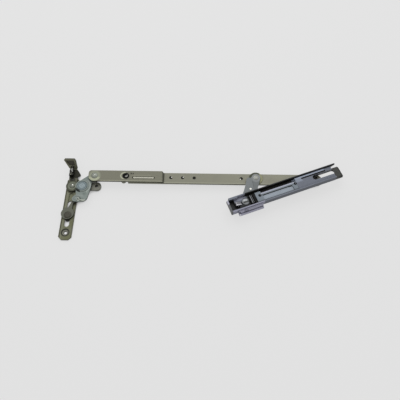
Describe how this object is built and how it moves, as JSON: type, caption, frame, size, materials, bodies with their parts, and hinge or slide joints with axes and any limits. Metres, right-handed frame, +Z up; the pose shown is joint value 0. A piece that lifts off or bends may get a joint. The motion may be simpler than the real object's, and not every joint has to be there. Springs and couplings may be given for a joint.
{
  "type": "tilt-turn window stay",
  "caption": "Tilt-and-turn window stay: slotted frame plate, bearing bracket and swing lever carry a long adjustable arm, which guides a sash carrier by a short lever.",
  "frame": {"origin": "axis of the countersunk frame screw hole, on the frame plate's underside, which is the table", "axes": "+X along the stay arm towards the sash carrier, +Y along the frame plate towards the bracket, +Z up along every pivot axis"},
  "size_m": [0.4003, 0.12, 0.0204],
  "materials": {
    "olive_steel": "yellow-olive passivated zinc on sheet steel, satin",
    "dark_steel": "dark olive-brown passivated steel, dull",
    "cast_zinc": "blue-grey die casting, soft satin",
    "zinc_sheet": "lilac-grey zinc plating, satin",
    "bright_steel": "bright turned steel, satin"
  },
  "bodies": {
    "frame": {"frame_plate": "olive_steel", "bearing_bracket": "dark_steel", "bracket_disc": "olive_steel", "bracket_rivets": "bright_steel", "pivot_pin": "cast_zinc"},
    "corner screw": {"set_screw": "bright_steel"},
    "lever": {"swing_lever": "cast_zinc", "arm_spacer": "olive_steel", "arm_rivet": "bright_steel", "link_rivet": "cast_zinc"},
    "link": {"slide_link": "dark_steel"},
    "slider": {"slide_rivet": "dark_steel"},
    "head": {"arm_head": "olive_steel"},
    "eccentric": {"adjusting_eccentric": "dark_steel"},
    "bar": {"arm_bar": "olive_steel", "guide_pins": "bright_steel", "lever_washer": "olive_steel", "lever_rivet": "bright_steel", "end_pin": "dark_steel"},
    "stay lever": {"stay_lever": "zinc_sheet", "lever_leaf": "cast_zinc", "leaf_rivet": "bright_steel"},
    "carrier": {"carrier_body": "zinc_sheet", "pivot_bolt": "bright_steel", "guide_plate": "dark_steel", "plate_rivets_pair": "bright_steel", "cover_plate": "zinc_sheet", "cover_rivets_pair": "dark_steel", "clamp_block": "bright_steel", "serrated_shoe": "dark_steel", "side_jaw": "zinc_sheet", "jaw_screw": "dark_steel"},
    "drive": {"drive_bar": "bright_steel"}
  },
  "joints": [
    {"name": "lever_swing", "type": "hinge", "parent": "frame", "child": "lever", "pos_m": [0.015, 0.0697, 0.008], "axis": [0, 0, 1], "range_deg": [-30, 0]},
    {"name": "link_fold", "type": "hinge", "parent": "lever", "child": "link", "pos_m": [0.008, 0.0492, 0.0043], "axis": [0, 0, 1], "range_deg": [0, 53]},
    {"name": "slider_travel", "type": "slide", "parent": "frame", "child": "slider", "axis": [0, 1, 0], "range_m": [0, 0.0046]},
    {"name": "arm_turn", "type": "hinge", "parent": "lever", "child": "head", "pos_m": [0.0315, 0.0851, 0.0115], "axis": [0, 0, 1], "range_deg": [-90, 15]},
    {"name": "arm_length", "type": "slide", "parent": "head", "child": "bar", "axis": [1, 0, 0], "range_m": [-0.00105, 0.00105]},
    {"name": "eccentric_turn", "type": "hinge", "parent": "head", "child": "eccentric", "pos_m": [0.0764, 0.0851, 0.0115], "axis": [0, 0, 1], "range_deg": [-75, 75]},
    {"name": "tilt_open", "type": "hinge", "parent": "bar", "child": "stay lever", "pos_m": [0.2622, 0.0851, 0.012], "axis": [0, 0, 1], "range_deg": [-68, 0]},
    {"name": "carrier_follow", "type": "hinge", "parent": "stay lever", "child": "carrier", "pos_m": [0.24609, 0.04523, 0.0147], "axis": [0, 0, 1], "range_deg": [0, 47]},
    {"name": "drive_slide", "type": "slide", "parent": "carrier", "child": "drive", "axis": [0.9303, 0.3668, 0], "range_m": [0, 0.009]},
    {"name": "corner_screw_turn", "type": "hinge", "parent": "frame", "child": "corner screw", "pos_m": [-0.003, 0.095, 0.0092], "axis": [0, 1, 0], "range_deg": [-180, 180]}
  ],
  "couplings": [
    {"joint": "link_fold", "follows": "lever_swing", "ratio": -1.75},
    {"joint": "slider_travel", "follows": "lever_swing", "m_per_rad": -0.0085944},
    {"joint": "eccentric_turn", "follows": "arm_length", "rad_per_m": -1008},
    {"joint": "carrier_follow", "follows": "tilt_open", "ratio": -0.6835}
  ]
}
